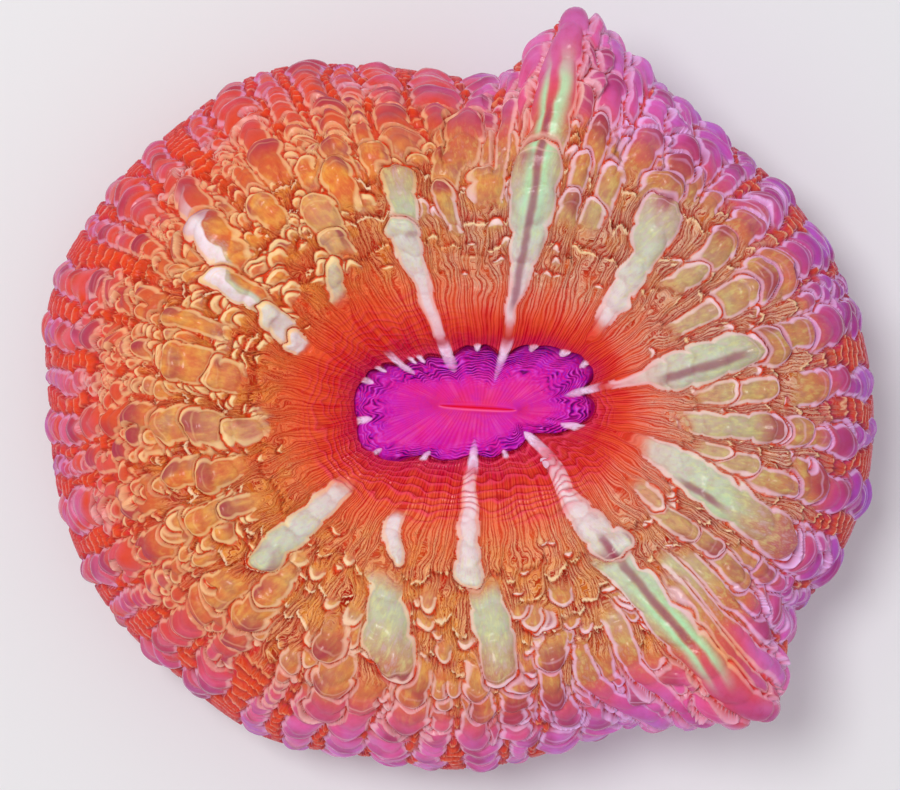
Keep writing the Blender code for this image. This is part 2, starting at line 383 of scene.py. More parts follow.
class Paint:
    """A material, and the nodes that its looks are mixed with."""

    def __init__(self, name):
        self.material = bpy.data.materials.new(name)
        self.material.use_nodes = True
        self.tree = self.material.node_tree
        self.shader = self.tree.nodes["Principled BSDF"].inputs
        self.tools = self.mix, self.ramp, self.times, self.mask, self.noise, self.math

    def node(self, kind, sockets=(), **settings):
        """A shader node. sockets pairs an input's name or number with a value or another node's output."""
        made = self.tree.nodes.new("ShaderNode" + kind)
        for key, value in settings.items():
            setattr(made, key, value)
        for key, value in dict(sockets).items():
            if isinstance(value, bpy.types.NodeSocket):
                self.tree.links.new(value, made.inputs[key])
            else:
                made.inputs[key].default_value = value
        return made

    def math(self, operation, a, b, c=0.0):
        """One operation on two or three values."""
        return self.node("Math", {0: a, 1: b, 2: c}, operation=operation).outputs[0]

    def times(self, product, *others):
        """The product of these values, kept between 0 and 1."""
        for value in others:
            made = self.node("Math", {0: product, 1: value}, operation="MULTIPLY", use_clamp=True)
            product = made.outputs[0]
        return product

    def mix(self, factor, low, high):
        """Colour low where factor is 0, high where it is 1."""
        return self.node("Mix", {0: factor, 6: linear(low), 7: linear(high)}, data_type="RGBA").outputs[2]

    def mask(self, name):
        """A mask that the mesh carries."""
        return self.node("Attribute", attribute_name=name).outputs["Fac"]

    def ramp(self, factor, *stops):
        """A ramp through stops, each a position and then a grey from 0 to 1, or red, green and blue."""
        made = self.node("ValToRGB", {0: factor})
        elements = made.color_ramp.elements
        for place, (position, *colour) in enumerate(stops):
            element = elements[place] if place < 2 else elements.new(position)
            element.position = position
            element.color = linear(colour)
        return made.outputs[0]

    def noise(self, scale, detail=2.0, rough=0.5, place=None):
        """Noise from 0 to 1, scale cells per metre of the body's own space or of another place."""
        place = place or self.node("TexCoord").outputs["Object"]
        sockets = {"Vector": place, "Scale": scale, "Detail": detail, "Roughness": rough}
        return self.node("TexNoise", sockets).outputs[0]

    def finished(self, colour, roughness, relief, strength, height):
        """The material with its colour, its roughness, and bumps up to height in metres where relief is 1."""
        bump = self.node("Bump", {"Height": relief, "Strength": strength, "Distance": height}).outputs[0]
        for name, socket in (("Base Color", colour), ("Roughness", roughness), ("Normal", bump)):
            self.tree.links.new(socket, self.shader[name])
        return self.material


def disc_material():
    """Hot pink skin, magenta and violet where it is wrinkled, with painted shade in the wrinkles' valleys,
    painted highlights on their crests and a painted shadow by the edge, and a red mouth with a painted
    highlight below it.
    """
    paint = Paint("disc_skin")
    mix, ramp, times, mask, noise = paint.mix, paint.ramp, paint.times, paint.mask, paint.noise
    wander = noise(700, 3.0)
    mottle = noise(2400)
    place = paint.math("MULTIPLY_ADD", wander, 0.3, mask("inward"))
    crest = ramp(place, (0.1, 208, 6, 128), (0.3, 214, 10, 150), (0.5, 218, 18, 158), (0.68, 226, 30, 150),
        (0.9, 232, 46, 132), (1.0, 232, 46, 118))
    fold = mask("fold")
    violet = times(mask("wrinkled"), ramp(fold, (0.4, 0.9), (0.82, 0)))
    colour = mix(violet, crest, (120, 8, 190))
    speck = times(mask("wrinkled"), ramp(mottle, (0.5, 0), (0.62, 0.5)))
    colour = mix(speck, colour, (128, 40, 226))
    # Painted shade in the valleys of the wrinkles, deepest within the painted shadow by the edge.
    dark = ramp(fold, (0.14, 1), (0.42, 0.9), (0.64, 0))
    colour = mix(dark, colour, mix(mask("shadow"), (92, 0, 84), (36, 0, 58)))
    # Painted highlight along the wrinkles' crests.
    crest_highlight = times(ramp(fold, (0.86, 0), (0.97, 0.85)), ramp(wander, (0.42, 0), (0.6, 1)), mask("wrinkled"))
    colour = mix(crest_highlight, colour, (226, 92, 236))
    colour = mix(times(mask("stria"), 0.45), colour, (206, 20, 96))
    pearl = ramp(noise(420), (0.4, 0), (0.65, 0.45))
    colour = mix(pearl, colour, (226, 36, 172))
    colour = mix(times(mask("ray"), 0.55), colour, (250, 104, 186))
    haze = ramp(noise(190, 4.0, 0.7), (0.46, 0), (0.64, 0.4))
    colour = mix(haze, colour, (180, 30, 200))
    colour = mix(times(mask("shadow"), 0.75), colour, (104, 0, 70))
    # Painted highlight on the mouth's lower lip.
    colour = mix(mask("lip"), colour, (250, 96, 160))
    colour = mix(mask("slit"), colour, (236, 14, 56))
    glassy = ramp(noise(420, 3.0), (0.36, 0.6), (0.56, 1))
    colour = mix(times(mask("tooth"), glassy), colour, (244, 204, 244))
    wet = ramp(mottle, (0.3, 0.32), (0.7, 0.45))
    paint.shader["Specular IOR Level"].default_value = 0.08
    return paint.finished(colour, wet, mottle, 0.15, 0.0002)


oral_disc = disc_mesh()
oral_disc.data.materials.append(disc_material())
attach(oral_disc, "root")
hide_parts("polyp")


# ---------------------------------------------------------------------------------------------------- mantle
# The mantle is the swollen skin between the disc and the rim: a red collar of fine radial lines, then fans
# of narrow pleats that end in tiers of rounded tips. Over the septa the skin swells into translucent lobes,
# which carry on down the flank as costae: chains of hoods that overlap like shingles.

# Each lobe: whiteness, and its line as (s, direction in degrees, half width in mm), its round tip last.
# A lobe overlies those before it.
LOBES = [
    (0.2, [(26, 128.5, 1.2), (30, 128, 2.2), (36, 127, 2.6), (41.5, 126, 2.7)]),
    (0.2, [(20, 115, 1.2), (24, 115, 2.0), (32.6, 115, 2.4)]),
    (0.3, [(20, 109, 1.2), (25, 108.5, 2.0), (31, 108, 2.3)]),
    (0.3, [(22, 133, 1.0), (25, 132.5, 1.8), (29, 132, 2.1)]),
    (0.2, [(15, 94, 0.8), (22, 94, 1.9), (30, 93, 2.3)]),
    (0.3, [(18, 85, 0.8), (24, 85, 1.8), (33, 84, 2.2)]),
    (0.62, [(24, 92, 1.4), (31, 90, 2.8), (38, 87.5, 3.1)]),
    (0.62, [(24, 84, 0.9), (30, 82.2, 1.4), (37, 79.3, 1.6)]),
    (0.62, [(28, 60, 0.9), (34, 62, 1.5), (40, 64, 1.6), (45, 66, 1.4)]),
    (0.4, [(16, 66, 0.9), (22, 65, 1.9), (30, 64, 2.4), (37, 63, 2.4)]),
    (0.5, [(13, 60, 0.8), (20, 59, 1.6), (27, 58, 1.9)]),
    (0.3, [(22, 53, 0.8), (28, 54, 2.0), (34, 55, 2.4)]),
    (0.5, [(12, 33, 0.8), (20, 33, 1.8), (28, 33, 2.2)]),
    (0.5, [(10, 24, 0.7), (18, 24, 1.5), (26, 24, 2.0)]),
    (0.4, [(12, 4, 0.7), (18, 4, 1.4), (25, 4, 1.7)]),
    (0.5, [(13, 348, 0.7), (19, 347, 1.4), (29, 346, 1.9)]),
    (0.3, [(18, 13, 2.2), (26, 13, 3.0), (38, 13, 3.0)]),
    (0.3, [(20, 356, 1.8), (27, 355.5, 2.4), (38, 355, 2.5)]),
    (0.3, [(26, 337, 2.6), (33, 336, 3.0), (42, 335, 3.0)]),
    (0.3, [(20, 48, 2.4), (28, 48.5, 3.0), (38, 49, 2.8)]),
    (0.65, [(24, 293, 1.0), (31, 295, 1.9), (38, 300, 2.3), (46, 306, 2.0)]),
    (0.62, [(20, 300, 0.9), (26, 302, 1.5), (31, 303.5, 1.8), (37, 306, 1.9), (46, 310.5, 1.7)]),
    (0.62, [(18, 322, 0.9), (25, 322.5, 1.6), (31, 324, 1.9), (37, 323.5, 1.8)]),
    (0.68, [(17, 317.5, 0.8), (24.7, 318.8, 1.3), (31, 320, 1.6), (38, 321, 1.7), (43, 320.5, 1.5)]),
    (0.62, [(20, 315.5, 0.8), (26, 316.3, 1.3), (33, 317.3, 1.6), (38, 318.3, 1.6)]),
    (0.3, [(18, 288, 1.0), (26, 286.5, 2.2), (39, 288, 2.5)]),
    (0.3, [(22, 270, 1.2), (27, 272, 2.3), (39, 274, 2.6)]),
    (0.3, [(23, 261, 1.0), (28, 260, 2.2), (37, 261, 2.5)]),
    (0.3, [(17, 241, 1.0), (26, 243, 2.4), (38, 247, 2.6)]),
    (0.3, [(15, 229, 1.0), (22, 227.5, 2.2), (31, 226, 2.5)]),
    (0.3, [(14, 206, 0.8), (20, 206, 1.8), (27, 205, 2.4)]),
    (0.2, [(14, 196, 0.8), (20, 196, 1.8), (28, 195, 2.2)]),
    (0.3, [(12, 171, 0.8), (18, 171, 1.8), (27, 170, 2.3)]),
    (0.2, [(16, 162, 0.8), (21, 162, 2.0), (28, 161, 2.2)]),
    (0.5, [(10, 187.5, 1.2), (14.2, 187, 2.2), (20, 185.5, 2.9), (28.6, 184, 3.1)]),
    (1.4, [(26, 144, 1.8), (33, 142, 2.6), (40, 140, 2.8)]),
    (1.45, [(20, 146.5, 1.8), (27, 144, 2.6), (33.5, 143, 3.0)]),
    (1.5, [(12, 151, 1.6), (18, 149.5, 2.4), (25.5, 149.5, 3.1)]),
    (1.2, [(8, 154, 1.4), (12.5, 152.5, 1.9), (16.5, 151.5, 2.2)]),
    (1.1, [(6, 156, 0.8), (8.6, 155, 1.4), (10.8, 154.5, 1.6)]),
    (0.5, [(12, 125.5, 1.5), (16, 124.5, 2.2), (21, 123, 2.4), (24.8, 121.5, 2.5)]),
    (0.7, [(6, 134, 0.8), (9, 132, 1.5), (12, 130, 1.8), (14.5, 128, 1.8)]),
    (0.8, [(14, 105.5, 1.5), (20, 104.5, 2.0), (24, 104, 2.6), (26.8, 103.5, 2.6)]),
    (1.0, [(-5.5, 104, 0.8), (0, 105, 0.9), (5, 106, 1.0), (10, 106.5, 1.5), (15, 106.5, 2.0),
           (18.5, 106, 2.2)]),
    (0.9, [(16, 73.5, 1.2), (22, 74, 2.8), (28, 74, 3.5), (34, 73.3, 3.4), (42, 71.8, 2.5), (51, 70.3, 1.2)]),
    (1.0, [(-6, 78.5, 0.5), (0, 78, 0.8), (3, 78, 1.0), (9, 76.2, 1.6), (15, 75, 2.9), (22, 75, 3.7),
           (28.3, 75.4, 3.9)]),
    (1.0, [(-1, 43.5, 0.6), (4.5, 44, 1.3), (10, 44, 2.2), (15.3, 44, 2.5), (21, 45.5, 3.0),
           (26.8, 47.5, 3.3)]),
    (0.8, [(-5.7, 15, 0.5), (0, 14, 0.6), (5, 12.5, 1.0), (9, 12, 2.2), (15, 12, 3.1), (21, 12.5, 3.1),
           (24.2, 13, 2.9)]),
    (0.6, [(8, 356, 0.8), (12, 356, 1.7), (19.6, 356, 2.3), (26.4, 356, 2.4)]),
    (0.8, [(0.5, 346, 0.6), (5, 344, 1.2), (10, 342, 2.0), (15.6, 340, 2.6), (24, 338, 3.1),
           (32.5, 336, 3.3)]),
    (0.4, [(6, 329, 0.8), (10.5, 328, 1.5), (20, 328, 1.9), (34.5, 326, 1.9)]),
    (0.9, [(11, 306, 1.0), (15, 307.5, 2.6), (21, 310, 3.1), (27, 312, 3.1), (33, 314, 3.0), (40, 316, 2.7),
           (47, 318, 1.9)]),
    (1.0, [(-7, 307, 0.5), (-4, 305, 0.8), (0, 303, 1.4), (2.7, 303, 1.6), (7, 306, 2.2), (13.3, 309.5, 2.9),
           (16.5, 311, 3.0)]),
    (0.8, [(11, 270, 1.5), (15, 272.5, 2.3), (20, 275.5, 2.9), (27.5, 278, 3.0)]),
    (1.0, [(-6, 268, 0.6), (-3, 267, 0.9), (0, 267, 1.0), (3, 268, 1.2), (6, 267.5, 1.6), (10, 268.5, 1.9),
           (15, 270, 2.1)]),
    (0.8, [(11, 247, 1.5), (15, 249, 2.7), (20, 252, 3.2), (28.3, 257.5, 3.3)]),
    (1.0, [(3, 246, 0.9), (6.3, 246, 1.3), (12.4, 250, 1.4)]),
    (0.9, [(0, 221, 0.6), (4.6, 221, 1.3), (10, 221.5, 2.0), (14.4, 222, 2.4), (22.6, 220, 2.6)]),
    (1.2, [(21.3, 303.5, 0.6), (22.8, 303.5, 1.1)]),
    (1.2, [(23.6, 303, 0.5), (24.9, 303, 0.9)]),
    (1.2, [(22.8, 299.2, 0.6), (23.9, 299.2, 1.0)]),
    (1.2, [(19.8, 319, 0.6), (21.2, 319, 1.2)]),
]
LOBE_DYE = 0.75
# Septa that show through: direction and s at both ends, sideways place in mm, half width, glow beside them.
STRIPES = [
    (77, 2, 72.2, 32, 0.3, 0.6, 0.9), (12.3, 7, 13.0, 23, -0.8, 0.7, 0.0),
    (307, 10, 314, 30, 0.0, 0.6, 0.9), (341, 12, 338.5, 22, -1.4, 0.5, 0.25),
]
# Costae: direction at the rim in degrees, and whether broad.
COSTAE = [
    (13, 1), (4, 0), (356, 0), (347, 1), (337, 1), (331, 0), (326, 1), (321.5, 1), (317, 1), (312.5, 1),
    (308, 1), (303, 1), (298.5, 0), (294, 1), (288, 1), (281, 0), (274, 1), (266, 0), (260, 1), (252, 1),
    (245, 1), (238, 0), (228, 1), (220, 1), (212, 0), (205, 1), (196, 1), (189, 0), (183, 1), (176, 0),
    (169, 1), (161, 1), (153, 0), (147, 1), (140, 1), (132, 0), (126, 1), (120, 0), (114, 1), (108, 0),
    (102, 1), (93, 1), (85, 1), (80, 0), (75.5, 1), (70, 1), (65.5, 1), (61, 1), (56, 0), (52, 1), (46, 1),
    (40, 0), (33, 1), (24, 1), (18, 0),
]
COSTA_FIRST_S = 29.0
COSTA_LAST_S = 75.5
# How pale the pleats are, every 30 degrees.
PALENESS = [1.0, 0.9, 0.75, 0.28, -0.05, 0.05, 0.1, 0.2, 0.35, 0.45, 0.7, 0.9]
# Finer arcs behind a lobe's rim, mm apart.
ARC_PITCH = 1.15


def hoods():
    """The costae's hoods from the rim up, as whiteness, dye and line: each starts under the one above it. Now
    and then a costa is drawn tight, and its hoods stand as close as rings."""
    rng = np.random.default_rng(5)
    found = []
    for direction, broad in COSTAE:
        nu = np.radians(direction)
        tip = COSTA_LAST_S - rng.uniform(0, 2)
        start = COSTA_FIRST_S + 6 * folds(nu) + rng.uniform(-2, 4)
        dye = 0.5 + 0.45 * around(PALENESS, nu) + rng.uniform(-0.25, 0.25)
        tight = 1.0
        while tip > start:
            if rng.uniform() < 0.3:
                tight = rng.choice([0.6, 1.0, 1.25])
            length = tight * (rng.uniform(3.6, 6.0) if broad else rng.uniform(2.6, 3.8))
            half = (2.8 if broad else 1.6) * rng.uniform(0.8, 1.2) * (1 - 0.2 * smooth(60, 78, tip))
            half *= 1 + 0.35 * folds(nu) * smooth(60, 40, tip)
            half *= 1 + 0.2 * np.clip(around(PALENESS, nu), 0, 1)
            lean = direction + rng.uniform(-0.9, 0.9) * 50 / (tip + 10)
            hidden, middle = tip - length - 2.4, tip - 0.5 * length
            line = [(hidden, lean, 0.8 * half), (middle, lean, half), (tip, lean, half)]
            found.append((tip, np.clip(dye + rng.choice([-0.7, 0.0, 0.35]), 0, 1), line))
            tip -= length
    return [(0.35, dye, line) for tip, dye, line in sorted(found, key=lambda hood: -hood[0])]


def bubbles():
    """Round blisters strewn over the pleats, crowded where the flank falls gently."""
    rng = np.random.default_rng(8)
    found = []
    for place in range(520):
        direction, s, half = rng.uniform(0, 360), rng.uniform(8, 40), rng.uniform(0.5, 1.0)
        if place > 130:
            direction, s, half = rng.normal(166, 32), rng.uniform(12, 46), rng.uniform(0.7, 1.7)
        if place > 340:
            direction, s, half = rng.uniform(0, 360), rng.uniform(17, 36), rng.uniform(1.1, 2.0)
        if place > 130 and around(PALENESS, np.radians(direction)) > 0.78:
            continue
        line = [(s - rng.uniform(0.9, 2.4) * half, direction, 0.8 * half), (s, direction, half)]
        found.append((s, rng.uniform(0.05, 0.45), rng.uniform(0, 0.4), line))
    return [(white, dye, line) for s, white, dye, line in sorted(found, key=lambda blister: -blister[0])]


def strung():
    """Whiteness, dye and line of every lobe: the smaller ones broken into hoods that overlap."""
    rng = np.random.default_rng(31)
    found = []
    for whiteness, line in LOBES:
        along, direction, half = np.array(line, float).T
        tip, length = along[-1], rng.uniform(4.2, 6.5)
        while whiteness < 0.6 and tip - along[0] > 1.6 * length:
            width = np.interp(tip, along, half) * rng.uniform(0.85, 1.2)
            lean = np.interp(tip, along, direction) + rng.uniform(-1.2, 1.2)
            hidden, middle = tip - 1.7 * length, tip - 0.5 * length
            hood = [(hidden, lean, 0.7 * width), (middle, lean, width), (tip, lean, width)]
            found.append((whiteness, LOBE_DYE, hood))
            tip -= length
            length = rng.uniform(3.2, 6.0)
        near = along < tip - 1
        if near.sum() < 2:
            continue
        ends = (tip, np.interp(tip, along, direction), np.interp(tip, along, half))
        found.append((whiteness, LOBE_DYE, [*zip(along[near], direction[near], half[near]), ends]))
    return found


def drifted(turn, s, span):
    """Direction and s after the slow wander, in mm to each side and up and down, that all growth has."""
    ease = smooth(-4, 9, s)
    aside = 0.9 * ripple(turn, s, 52, 7.5, 61) + 0.34 * ripple(turn, s, 120, 3.4, 62)
    aside += 0.1 * ripple(turn, s, 260, 1.6, 63)
    along = 0.9 * ripple(turn, s, 44, 7, 64) + 0.5 * ripple(turn, s, 120, 3.0, 65)
    along += 0.2 * ripple(turn, s, 260, 1.4, 66)
    return turn + ease * aside / span, s + ease * along


def lobe_gap(turn, s, span, line):
    """Signed mm from a lobe's outline, negative inside, its half width here, and mm aside of its line."""
    along, direction, half = np.array(line, float).T
    width = np.interp(s, along, half)
    a = np.radians(degrees_from(turn, np.interp(s, along, direction))) * span
    beyond = np.maximum(s - (along[-1] - half[-1]), 0)
    return np.hypot(a, beyond) - width, width, a


def spot_of(nu, s, span, line):
    """Rows and columns of the net round a lobe, or None if it lies outside this net."""
    along, direction, half = np.array(line, float).T
    rows = np.where((s[:, 0] > along[0] - 3) & (s[:, 0] < along[-1] + 4))[0]
    if not len(rows):
        return None
    reach = np.ptp(direction) / 2 + np.degrees((half.max() + 3.5) / max(span[rows].mean(), 10))
    columns = np.where(np.abs(degrees_from(nu, direction.mean())) < reach)[0]
    return rows[:, None], columns[None]


def parted(nu, turn, along, s, span):
    """Directions as the pleats see them: they part round each lobe as a stream round a post, so that mm a
    from its line read as sqrt(a^2 - width^2)."""
    shift = 0 * turn
    for _, line in LOBES:
        spot = spot_of(nu, s, span, line)
        if spot is None:
            continue
        gap, width, a = lobe_gap(turn[spot], along[spot], span[spot], line)
        room = np.maximum(width**2 - ((gap + width) ** 2 - a**2), 0)
        room *= smooth(line[0][0] - 1, line[0][0] + 3, along[spot])
        aside = np.sign(a) * np.sqrt(np.maximum(a**2 - room, 0)) - a
        shift[spot] += aside * np.exp(-((a / (1.6 * width + 0.8)) ** 2))
    return turn + shift / span


def cut_round(shares):
    """Edges of columns with these shares of the turn."""
    return np.concatenate([[0], np.cumsum(shares)]) / np.sum(shares) * TURN


FAN_RNG = np.random.default_rng(21)
FAN_COUNT = 64
FAN_SHARES = FAN_RNG.uniform(0.6, 1.6, FAN_COUNT)
FAN_EDGES = cut_round(FAN_SHARES)
FAN_PLEATS = np.round(FAN_SHARES * 3.6 + 0.4).astype(int)
FAN_PACE = FAN_RNG.uniform(0.94, 1.06, FAN_COUNT)
FAN_STARTS = 40 + FAN_RNG.uniform(-0.2, 0.2, FAN_COUNT)
PLEATS_BEFORE = np.concatenate([[0], np.cumsum(FAN_PLEATS)])
PLEAT_COUNT = int(FAN_PLEATS.sum())
PLEAT_JITTER = FAN_RNG.uniform(-1, 1, (FAN_COUNT, 12, 64))
# Length of a tier of pleats in mm at each s, and the pitch of the cords that take over on the flank.
TIER_S = [-10, 12, 26, 40]
TIER_LENGTHS = [10.0, 6.5, 4.6, 3.6]
CORD_FIRST_S = 33.0
CORD_PITCH = 2.3


def pleats(turn, s, span, plain):
    """Fans of pleats in tiers. A fan is a column whose tiers end in a scalloped frill; a pleat is a
    half-round strip of it with its own tip. On the flank the tiers give way to beaded cords that run round
    the body."""
    scan = np.linspace(-10, 60, 351)
    pace = np.cumsum(1 / np.interp(scan, TIER_S, TIER_LENGTHS)) * (scan[1] - scan[0])
    turn = turn % TURN
    fan = np.clip(np.searchsorted(FAN_EDGES, turn, side="right") - 1, 0, FAN_COUNT - 1)
    half = (FAN_EDGES[fan + 1] - FAN_EDGES[fan]) / 2
    x = (turn - FAN_EDGES[fan]) / half - 1
    count = FAN_PLEATS[fan]
    place = (x + 1) / 2 * count
    place = np.clip(place + 0.28 * np.sin(2.3 * place + 7 * FAN_PACE[fan]) * dome(x), 0, count - 1e-6)
    pleat = np.floor(place).astype(int)
    number = PLEATS_BEFORE[fan] + place
    xp = 2 * (place - pleat) - 1
    pleat_mm = half * span / count
    sag = 0.4 * half * span * x * x + 0.6 * pleat_mm * (1 - dome(xp))
    length = np.interp(s, TIER_S, TIER_LENGTHS) / FAN_PACE[fan]
    slow = 2.0 * ripple(plain, s, 13, 16, 72)
    v = np.interp(s + sag + slow, scan, pace) * FAN_PACE[fan] + FAN_STARTS[fan]
    v += PLEAT_JITTER[fan, pleat, np.floor(v).astype(int) % 64] * 0.3 / length
    wave = 1.4 * ripple(plain, s, 60, 7, 70) + 0.6 * ripple(plain, s, 150, 3.5, 71)
    wave += 0.3 * ripple(plain, s, 330, 2.2, 73) + 0.2 * np.cos(TURN * number)
    on_flank = s + sag > CORD_FIRST_S + 40 * (FAN_PACE[fan] - 1)
    v = np.where(on_flank, (s + wave) / CORD_PITCH, v)
    length = np.where(on_flank, CORD_PITCH, length)
    f = v - np.floor(v)
    to_tip, from_start = (1 - f) * length, f * length
    cord = np.sin(np.pi * f**1.3)
    field = smooth(0, 9, s)
    tiers = np.where(on_flank, 1.0, smooth(7, 15, s))
    merge = smooth(-0.9, -0.2, ripple(plain, s, 190, 3.0, 67))
    merge = np.maximum(merge, 1 - field)
    tip = dome(1 - np.clip(to_tip / (0.2 + 0.3 * pleat_mm), 0, 1))
    height = np.where(on_flank, 0.9, 0.35 + 0.45 * tiers + 0.25 * ripple(plain, s, 40, 6, 68))
    rise = height * field * (0.2 + 0.8 * f * f) * tip * smooth(0, 0.5, from_start)
    rise = np.where(on_flank, 0.85 * cord, rise)
    depth = np.minimum(0.6 * pleat_mm, 0.4) * (0.3 + 0.7 * field) * (0.3 + 0.7 * merge)
    depth = np.where(on_flank, 0.06 * depth, depth)
    rise -= depth * (1 - dome(xp))
    hem = np.minimum(0.55 * to_tip + 3 * (1 - tiers), 1.5)
    hem = np.where(on_flank, 0.24 + 0.6 * np.abs(f - 0.56) * CORD_PITCH, hem)
    shade = np.exp(-from_start / 0.8) * field * tiers
    shade = np.where(on_flank, (1 - cord) ** 2, shade)
    lean = 0.2 * rise * smooth(0.4, 1, f) * field
    return {"rise": rise, "lean": lean, "hem": hem, "shade": shade, "number": number, "merge": merge}


def lay_lobe(layers, spot, turn, along, span, lobe_noise, lump, patch, whiteness, dye, line):
    """Lay one lobe over what is there: a half-round strip, waisted like a string of beads, that rises out of
    the skin and ends in a round hood with finer arcs behind its rim."""
    first, last = line[0][0], line[-1][0]
    widest = max(half for _, _, half in line)
    gap, width, a = lobe_gap(turn, along, span, line)
    ring = last - along - 0.6 * width * (1 - dome(np.clip(a / width, -1, 1)))
    waist = np.abs(np.sin(np.pi * ring / (1.3 * widest + 0.4) + 3 * whiteness))
    gap = gap + (0.3 * lobe_noise + 0.45 * (1 - waist) ** 2) * smooth(0.9, 2.6, width)
    shown = smooth(first, first + min(2.2 * widest, 0.4 * (last - first)) + 0.3, along)
    depth = np.clip(-gap / width, 0, 1)
    tipness = smooth(-0.2, 0.9, (along - last + width) / width)
    round_top = dome(1 - depth) ** (1.8 - 0.5 * tipness)
    f = np.clip((along - first) / (last - first), 0, 1)
    height = (0.1 + 0.66 * width) * round_top * (0.5 + 0.5 * smooth(0.2, 1, f))
    height += (0.06 * width * lump - 0.12 * (1 - waist) ** 2 * width) * round_top
    height += 0.05 * np.cos(TURN * ring / ARC_PITCH) * smooth(4, 1.5, ring) * round_top
    white = whiteness + 0 * gap
    if whiteness > 1.3:
        side = a / width + 0.9 * np.maximum(along - last + 1.3 * width, 0) / width + 0.3 * lobe_noise
        white = 0.2 + 1.25 * smooth(-0.6, 0.4, side)
    inner = {
        "rise": height, "lean": 0.45 * height * smooth(0.5, 1, f), "edge": np.minimum(-gap, 2.5),
        "hem": 1.5 + 0 * gap, "lobe": 1.0 + 0 * gap, "white": white, "shade": 0 * gap,
        "tip": dye * smooth(0.3, 0.9, f) * smooth(-0.1, 0.75, depth),
        "blotch": smooth(5.0, 1.0, last - along) * patch * (last > 15) * (widest > 1.8),
        "core": smooth(0.08, 0.5, depth), "tipness": tipness, "ring": np.clip(ring, 0, 6),
    }
    hold = 1 - (1 - smooth(0, 0.4, gap)) * shown
    old = {key: layers[key][spot] for key in inner}
    outer = old | {key: old[key] * hold for key in ("rise", "lean", "lobe", "blotch", "tipness")}
    outer["rise"] -= 0.08 * (1 - hold)
    outer["tipness"] += tipness * (1 - hold)
    outer["edge"] = np.minimum(old["edge"], gap + 2.5 * (1 - shown))
    outer["shade"] = np.maximum(old["shade"], smooth(0.9, 0.0, gap) * (0.45 + 0.55 * tipness) * shown)
    for key, value in inner.items():
        layers[key][spot] = np.where(gap < 0, old[key] * (1 - shown) + value * shown, outer[key])


